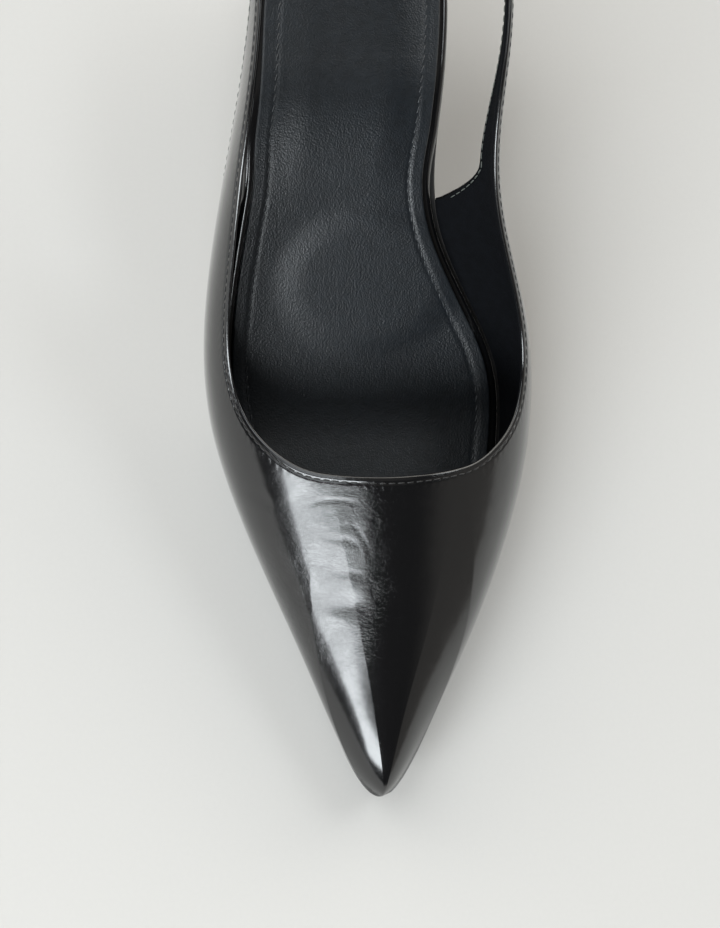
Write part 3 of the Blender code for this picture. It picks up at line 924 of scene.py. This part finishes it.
inner_path, inner_normal = sock_path(1)
outer_path, outer_normal = sock_path(-1)
sock_stitches = stitch_line("sock_stitches", np.concatenate([inner_path, outer_path[::-1]]),
                            np.concatenate([inner_normal, outer_normal[::-1]]), False,
                            SOCK_STITCH_PITCH, SOCK_THREAD, SOCK_STITCH_SKEW)

# %% [markdown]
# ## Heel and top piece
#
# The heel is a block covered with the upper's leather. Seen from above, its
# outline changes from the shape of the seat to the small shape of the tip. The
# way down is a smooth curve between a few levels, so the back of the heel is
# curved, as a turned block is. The top piece is the replaceable rubber tip.

# %% Heel and top piece
HEEL_TIP_WIDTH = 0.018
HEEL_TIP_LENGTH = 0.019
TOP_PIECE_THICKNESS = 0.005
HEEL_INSET = 0.0016
BREAST = 0.80
BREAST_HOLLOW = 0.004
HEEL_FALL = np.array([0.00, 0.06, 0.14, 0.25, 0.40, 0.58, 0.78, 1.00])
HEEL_TAPER = np.array([0.00, 0.13, 0.30, 0.49, 0.69, 0.85, 0.95, 1.00])
HEEL_ROUND = 60
HEEL_FRONT = 31
HEEL_LEVELS = 90
TIP_ROUNDNESS = 0.75      # power of the cosine in the tip's outline
BEVEL = 0.0006


def heel_outlines():
    """Plan of the heel at the seat and at the tip, point for point."""
    quarter = np.linspace(0.0, np.pi / 2.0, HEEL_ROUND)
    turn = to_turn(BREAST) + (1.0 - to_turn(BREAST)) * np.sin(quarter)
    inset = np.full(HEEL_ROUND, SOLE_INSET + HEEL_INSET)
    inner = outline(turn, 1, inset)
    outer = outline(turn, -1, inset)
    front = np.linspace(0.0, 1.0, HEEL_FRONT + 2)[1:-1]
    hollow = np.column_stack([np.zeros(HEEL_FRONT), BREAST_HOLLOW * np.sin(np.pi * front)])
    breast = outer[0] + (inner[0] - outer[0]) * front[:, None] + hollow
    seat = np.concatenate([inner, outer[-2::-1], breast])
    sweep = np.linspace(-np.pi / 2.0, np.pi / 2.0, 2 * HEEL_ROUND - 1)
    round_x = -np.sin(sweep) * HEEL_TIP_WIDTH / 2.0
    round_y = HEEL_TIP_LENGTH * (np.abs(np.cos(sweep)) ** TIP_ROUNDNESS - 0.5)
    front_x = -HEEL_TIP_WIDTH / 2.0 + HEEL_TIP_WIDTH * front
    front_y = np.full(HEEL_FRONT, -HEEL_TIP_LENGTH / 2.0)
    tip = np.column_stack([np.r_[round_x, front_x], np.r_[round_y, front_y]])
    return seat, tip + (TIP_SWING, LENGTH * HEEL_TIP_MIDDLE)


def rounded_in(plan, amount):
    """The plan drawn towards its middle by a length at its widest point."""
    middle = (plan.min(axis=0) + plan.max(axis=0)) / 2.0
    return middle + (plan - middle) * (1.0 - amount / np.abs(plan - middle).max())


seat_plan, tip_plan = heel_outlines()
levels = np.linspace(0.0, 1.0, HEEL_LEVELS)
tapers = spline(HEEL_FALL, HEEL_TAPER, levels, False)
seat_height = sole_line(seat_plan[:, 1])[0] - GAP
tip_height = TOP_PIECE_THICKNESS + GAP
heel_rings = [np.column_stack([seat_plan + (tip_plan - seat_plan) * taper,
                               seat_height + (tip_height - seat_height) * fall])
              for fall, taper in zip(levels, tapers)]
heel = stack("covered_heel", heel_rings)

edge_levels = [(0.0, BEVEL), (0.3 * BEVEL, 0.3 * BEVEL), (BEVEL, 0.0)]
edge_levels += [(TOP_PIECE_THICKNESS - z, inset) for z, inset in edge_levels[::-1]]
top_piece = stack("rubber_top_piece", [
    np.column_stack([rounded_in(tip_plan, inset), np.full(len(tip_plan), z)])
    for z, inset in edge_levels])

# %% [markdown]
# ## Finishes
#
# A finish is a small graph of shader nodes. Written node by node it is long and
# hard to read, so one class wraps a socket and lets Python's own signs add the
# Math nodes: grain * 0.3 + 0.2 is two of them. Any other node comes from one
# method. Patterns are laid on Object coordinates, which are metres here, so a
# scale of 2000 gives grain half a millimetre wide.

# %% Shader helpers
class Wire:
    """An output socket of a finish that can be used in sums."""

    def __init__(self, finish, socket):
        self.finish = finish
        self.socket = socket

    def __add__(self, other):
        return self.finish.sum("ADD", self, other)

    def __sub__(self, other):
        return self.finish.sum("SUBTRACT", self, other)

    def __mul__(self, other):
        return self.finish.sum("MULTIPLY", self, other)

    def __truediv__(self, other):
        return self.finish.sum("DIVIDE", self, other)


class Finish:
    """A material with one Principled shader and helpers to add nodes before it."""

    def __init__(self, name, **settings):
        self.material = bpy.data.materials.new(name)
        self.material.use_nodes = True
        self.nodes = self.material.node_tree.nodes
        self.links = self.material.node_tree.links
        self.shader = self.nodes["Principled BSDF"]
        for key, value in settings.items():
            self.set(key.replace("_", " ").title().replace("Ior", "IOR"), value)

    def set(self, name, value):
        """Put a value or a wire into a socket of the shader."""
        self.put(self.shader.inputs[name], value)

    def put(self, socket, value):
        if isinstance(value, Wire):
            self.links.new(value.socket, socket)
        else:
            socket.default_value = value

    def node(self, kind, settings, inputs, output=0):
        """Any node: its type, its settings, then values or wires for its sockets."""
        node = self.nodes.new(kind)
        for key, value in settings.items():
            setattr(node, key, value)
        for key, value in inputs.items():
            self.put(node.inputs[key], value)
        return Wire(self, node.outputs[output])

    def sum(self, operation, first, second):
        return self.node("ShaderNodeMath", {"operation": operation}, {0: first, 1: second})

    def place(self, stretch=(1.0, 1.0, 1.0), turn=(0.0, 0.0, 0.0)):
        """Object coordinates, turned and then stretched."""
        where = self.node("ShaderNodeTexCoord", {}, {}, "Object")
        return self.node("ShaderNodeMapping", {}, {
            "Vector": where, "Scale": stretch, "Rotation": turn})

    def split(self, vector, axes):
        """The named parts of a vector, X, Y or Z, each as a wire."""
        return (self.node("ShaderNodeSeparateXYZ", {}, {"Vector": vector}, axis) for axis in axes)

    def noise(self, size, detail=2.0, where=None, distortion=0.0):
        """Cloudy noise whose blobs are about so many metres wide, from 0 to 1."""
        return self.node("ShaderNodeTexNoise", {}, {
            "Vector": where or self.place(), "Scale": 1.0 / size,
            "Detail": detail, "Distortion": distortion}, "Fac")

    def cells(self, size):
        """Distance in a pattern of soft cells that are about so many metres wide."""
        return self.node("ShaderNodeTexVoronoi", {"feature": "SMOOTH_F1"}, {
            "Vector": self.place(), "Scale": 1.0 / size, "Smoothness": 0.5}, "Distance")

    def size_of(self, value):
        """The value without its sign."""
        return self.node("ShaderNodeMath", {"operation": "ABSOLUTE"}, {0: value})

    def between(self, value, low, high, new_low=0.0, new_high=1.0):
        """The value, moved from one range to another with a soft step."""
        return self.node("ShaderNodeMapRange", {"interpolation_type": "SMOOTHSTEP"}, {
            "Value": value, "From Min": low, "From Max": high,
            "To Min": new_low, "To Max": new_high})

    def mix(self, share, first, second):
        """Colour between two colours."""
        return self.node("ShaderNodeMix", {"data_type": "RGBA"}, {0: share, 6: first, 7: second}, 2)

    def relief(self, height, depth):
        """Bump whose height of 1 stands so many metres above 0."""
        self.set("Normal", self.node("ShaderNodeBump", {}, {
            "Strength": 1.0, "Distance": depth, "Height": height}))

    def wear(self, *pieces):
        for piece in pieces:
            piece.data.materials.clear()
            piece.data.materials.append(self.material)


# %% [markdown]
# The upper is calf leather with a thick polished coat. Its base is almost
# black, and what one sees is the coat: a slightly soft mirror that fine
# wrinkles break up. Wrinkles run across the foot, so their noise is drawn out
# in the plane of a cross-section. Where that noise passes its middle value lies
# a thin valley, and a slower noise lets the wrinkles come and go in patches.
# They are strongest in an oval behind the toe, where the foot bends the
# leather. A slow noise stands for leather that is never quite flat, so the
# highlight's edge wavers. The thread pulls the leather in at each stitch: a
# cosine along the topline, which fades out two millimetres from the seam. The
# heel and the insole are covered with the same leather, pulled tight, so their
# wrinkles are weaker.

# %% Polished leather
FLEX_MIDDLE = (-0.016, -0.070)    # oval of strong wrinkles, in the frame
FLEX_HALF = (0.015, 0.024)
STROKE_SIZE = 0.00105
FINE_SIZE = 0.0004
SLOW_SIZE = 0.0075
PATCH_SIZE = 0.006
PORE_SIZE = 0.00038
PUCKER_MIDDLE = 0.0023            # the puckers' distance from the topline
LEATHER_BUMP = 0.00026


def polished(name, wrinkle, coat):
    leather = Finish(name, base_color=(0.0035, 0.0035, 0.004, 1.0), roughness=0.1,
                     coat_weight=coat, coat_roughness=0.13, specular_ior_level=0.4)
    crossways = leather.place((0.8, 1.0, 0.8), (0.0, 0.0, 0.35))
    strokes = leather.noise(STROKE_SIZE, 2.0, crossways, 0.5)
    fine = leather.noise(FINE_SIZE, 2.0, crossways, 0.3)
    slow = leather.noise(SLOW_SIZE, 1.0)
    valley = leather.between(leather.size_of(strokes - 0.5), 0.0, 0.03)
    from_side, from_end = leather.split(leather.place(), "XY")
    aside = (from_side - FLEX_MIDDLE[0]) / FLEX_HALF[0]
    ahead = (from_end - FLEX_MIDDLE[1]) / FLEX_HALF[1]
    flex = leather.between(aside * aside + ahead * ahead, 0.2, 1.6, 1.0, 0.16)
    patches = leather.between(leather.noise(PATCH_SIZE, 2.0), 0.35, 0.65, 0.5, 1.0)
    pores = leather.cells(PORE_SIZE)
    wrinkles = (strokes * 0.62 + fine * 0.6 + valley * 0.12) * patches * flex
    edge_map = leather.node("ShaderNodeUVMap", {"uv_map": "topline"}, {}, "UV")
    along, from_edge = leather.split(edge_map, "XY")
    pull = leather.sum("COSINE", along * (2.0 * np.pi / STITCH_PITCH), 0.0)
    beside = leather.size_of(from_edge - PUCKER_MIDDLE)
    puckers = pull * leather.between(beside, 0.0003, 0.0022, 0.09, 0.0)
    height = (wrinkles + slow * 0.65) * wrinkle + puckers + pores * 0.02
    leather.relief(height, LEATHER_BUMP)
    leather.set("Roughness", leather.between(fine, 0.3, 0.7, 0.13, 0.2))
    return leather


polished("polished black leather", 1.0, 0.8).wear(upper_leather)
polished("polished heel cover", 0.2, 0.8).wear(heel)
polished("polished insole wrap", 0.4, 0.6).wear(insole)

# %% [markdown]
# The lining and the sock are satin, a little blue, with a pebble grain, and the
# sole leather is dyed and waxed. Slow noise makes the colour a little uneven.
# Thread and rubber have one colour each and a fine even noise as their relief.

# %% Satin leather, thread and rubber
PEBBLE_SIZE = 0.00046
TONE_SIZE = 0.0025
SATIN_BUMP = 0.00012
DARKER = 0.72             # darkest tone of a satin leather, as a share of its colour
ROUGH_SPREAD = 0.08


def satin(name, colour, grain, roughness, specular):
    leather = Finish(name, base_color=(*colour, 1.0), roughness=roughness,
                     specular_ior_level=specular)
    pebbles = leather.cells(PEBBLE_SIZE)
    soft = leather.noise(TONE_SIZE, 3.0)
    leather.relief(pebbles * grain + soft * 0.5, SATIN_BUMP)
    tone = leather.between(soft, 0.3, 0.7)
    darker = tuple(DARKER * part for part in colour)
    leather.set("Base Color", leather.mix(tone, (*darker, 1.0), (*colour, 1.0)))
    leather.set("Roughness", leather.between(
        pebbles, 0.0, 0.6, roughness - ROUGH_SPREAD, roughness + ROUGH_SPREAD))
    return leather


def matt(name, colour, size, detail, depth, smooth, rough):
    """Plain finish whose fine noise gives both its relief and its roughness."""
    plain = Finish(name, base_color=(*colour, 1.0), roughness=(smooth + rough) / 2.0)
    speckle = plain.noise(size, detail)
    plain.relief(speckle, depth)
    plain.set("Roughness", plain.between(speckle, 0.3, 0.7, smooth, rough))
    return plain


def waxed_thread(name, colour):
    return matt(name, colour, 0.00012, 2.0, 0.00004, 0.3, 0.5)


satin("satin sock leather", (0.009, 0.0118, 0.0152), 0.6, 0.34, 0.5).wear(sock)
satin("satin lining leather", (0.0025, 0.003, 0.0042), 0.6, 0.75, 0.1).wear(upper_lining)
satin("waxed sole leather", (0.018, 0.018, 0.019), 0.3, 0.42, 0.5).wear(outsole)
waxed_thread("black waxed thread", (0.012, 0.012, 0.013)).wear(topline_stitches)
waxed_thread("dark waxed thread", (0.035, 0.038, 0.042)).wear(sock_stitches)
waxed_thread("grey waxed thread", (0.09, 0.10, 0.09)).wear(strap_stitches, lining_stitches)
matt("matt rubber", (0.02, 0.02, 0.02), 0.0004, 3.0, 0.00005, 0.52, 0.68).wear(top_piece)

# %% [markdown]
# ## Bodies
#
# Each piece names the solid of the construction model that it stands for, which
# is then hidden, and a material slot. The shoe has no moving parts, so all
# pieces ride on the one root body.

# %% Link the pieces to the construction model
ROLES = [
    (upper_leather, "upper", "upper_leather"),
    (upper_lining, "upper", "upper_leather"),
    (topline_stitches, "upper", "upper_leather"),
    (strap_stitches, "upper", "upper_leather"),
    (lining_stitches, "upper", "upper_leather"),
    (outsole, "outsole", "sole_leather"),
    (insole, "insole", "insole_cover"),
    (sock, "sock", "sock_leather"),
    (sock_stitches, "sock", "sock_leather"),
    (heel, "heel", "heel_cover"),
    (top_piece, "heel_top_piece", "top_piece"),
]
for piece, node, slot in ROLES:
    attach(piece, "root")
    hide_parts(node)

# %% [markdown]
# ## Floor, light and camera
#
# The floor is plain pale paper. Polished leather shows the room, so each light
# is placed by what the leather has to mirror. One wide window stands low in
# front of the toe, to the outer side, and leans, and it draws the long highlight
# on the vamp. A larger, faint one behind it softens the highlight's edge. Two
# dim windows light the sock and the insole's edge, and the back wall is bright
# enough for the flanks. All else is dim, so the leather stays black.

# %% Floor
FLOOR_HALF = 2.0
corners = FLOOR_HALF * np.array([(-1, -1, 0), (1, -1, 0), (1, 1, 0), (-1, 1, 0)])
floor_mesh = bpy.data.meshes.new("floor")
floor_mesh.from_pydata(corners.tolist(), [], [(0, 1, 2, 3)])
floor = bpy.data.objects.new("floor", floor_mesh)
bpy.context.scene.collection.objects.link(floor)
paper = Finish("pale paper", base_color=(0.53, 0.525, 0.51, 1.0), roughness=0.9)
fibre = paper.noise(0.0012, 4.0)
paper.relief(fibre, 0.000006)
paper.set("Base Color", paper.mix(fibre, (0.52, 0.512, 0.498, 1.0), (0.54, 0.532, 0.516, 1.0)))
paper.wear(floor)

# %% Light
COOL = (0.92, 0.97, 1.0)
WARM = (1.0, 0.96, 0.89, 1.0)
TOE_MIDDLE = (0.0, -0.05, 0.03)
SHOE_MIDDLE = (0.0, 0.0, 0.0)
FRONT_LEAN = 37.0
WINDOWS = [
    # name, middle, what it faces, width, height, radiance, lean in degrees
    ("front_window", (-1.18, -1.51, 1.14), TOE_MIDDLE, 2.05, 0.74, 12.0, FRONT_LEAN),
    ("front_glow", (-1.25, -1.60, 1.20), TOE_MIDDLE, 2.6, 1.10, 1.0, FRONT_LEAN),
    ("side_window", (-1.15, 0.40, 1.90), SHOE_MIDDLE, 1.9, 1.20, 2.4, 0.0),
    ("back_window", (1.35, 0.55, 1.75), SHOE_MIDDLE, 0.9, 0.60, 5.0, 0.0),
]


def window(name, centre, target, width, height, radiance, lean):
    """Area light with the same radiance from each point of its face."""
    light = bpy.data.lights.new(name, "AREA")
    light.shape = "RECTANGLE"
    light.size = width
    light.size_y = height
    light.energy = radiance * np.pi * width * height
    light.color = COOL
    lamp = bpy.data.objects.new(name, light)
    away = mathutils.Vector(centre) - mathutils.Vector(target)
    lean_turn = mathutils.Quaternion((0.0, 0.0, 1.0), np.radians(lean))
    lamp.rotation_euler = (away.to_track_quat("Z", "Y") @ lean_turn).to_euler()
    lamp.location = centre
    bpy.context.scene.collection.objects.link(lamp)


for row in WINDOWS:
    window(*row)

room = bpy.data.worlds.new("room")
bpy.context.scene.world = room
room.use_nodes = True


class Room(Finish):
    """The same helpers for the room's own nodes."""

    def __init__(self, world):
        self.nodes = world.node_tree.nodes
        self.links = world.node_tree.links
        self.shader = self.nodes["Background"]


walls = Room(room)
towards = walls.node("ShaderNodeTexCoord", {}, {}, "Generated")
to_side, to_back, to_top = walls.split(towards, "XYZ")
back_wall = walls.between(to_back, 0.15, 0.6, 0.0, 3.0)
side_wall = walls.between(to_side, 0.2, 0.7, 0.0, 0.25)
below_ceiling = walls.between(to_top, 0.5, 0.85, 1.0, 0.0)
overhead = walls.between(to_top, 0.93, 0.98, 0.0, 0.15)
walls.set("Strength", (back_wall + side_wall) * below_ceiling + overhead + 0.05)
walls.set("Color", WARM)
bpy.context.scene.view_settings.view_transform = "Standard"

# %% [markdown]
# The camera looks down steeply at the toe from the outer side. Its angles and its
# long lens were worked out from the outlines of the shoe in the photo.

# %% Camera
AZIMUTH, ELEVATION, ROLL = np.radians([-41.7, 75.0, 4.4])
CAMERA_DISTANCE = 0.700
CAMERA_TARGET = np.array([-0.00341, -0.03858, 0.020])
SENSOR = 36.0
FOCAL = 2590.0 / 928.0    # lens length for a sensor of 1, both in photo pixels

level = np.array([np.sin(AZIMUTH), -np.cos(AZIMUTH), 0.0]) * np.cos(ELEVATION)
back = level + np.array([0.0, 0.0, np.sin(ELEVATION)])
level_up = np.array([0.0, 1.0, 0.0]) - back[1] * back
level_up /= np.linalg.norm(level_up)
level_right = np.cross(level_up, back)
up = np.cos(ROLL) * level_up + np.sin(ROLL) * level_right
right = np.cos(ROLL) * level_right - np.sin(ROLL) * level_up
camera_data = bpy.data.cameras.new("camera")
camera_data.sensor_fit = "AUTO"
camera_data.sensor_width = SENSOR
camera_data.lens = SENSOR * FOCAL
camera = bpy.data.objects.new("camera", camera_data)
turned = mathutils.Matrix(np.column_stack([right, up, back]).tolist()).to_4x4()
turned.translation = (CAMERA_TARGET + CAMERA_DISTANCE * back).tolist()
camera.matrix_world = turned
bpy.context.scene.collection.objects.link(camera)
bpy.context.scene.camera = camera
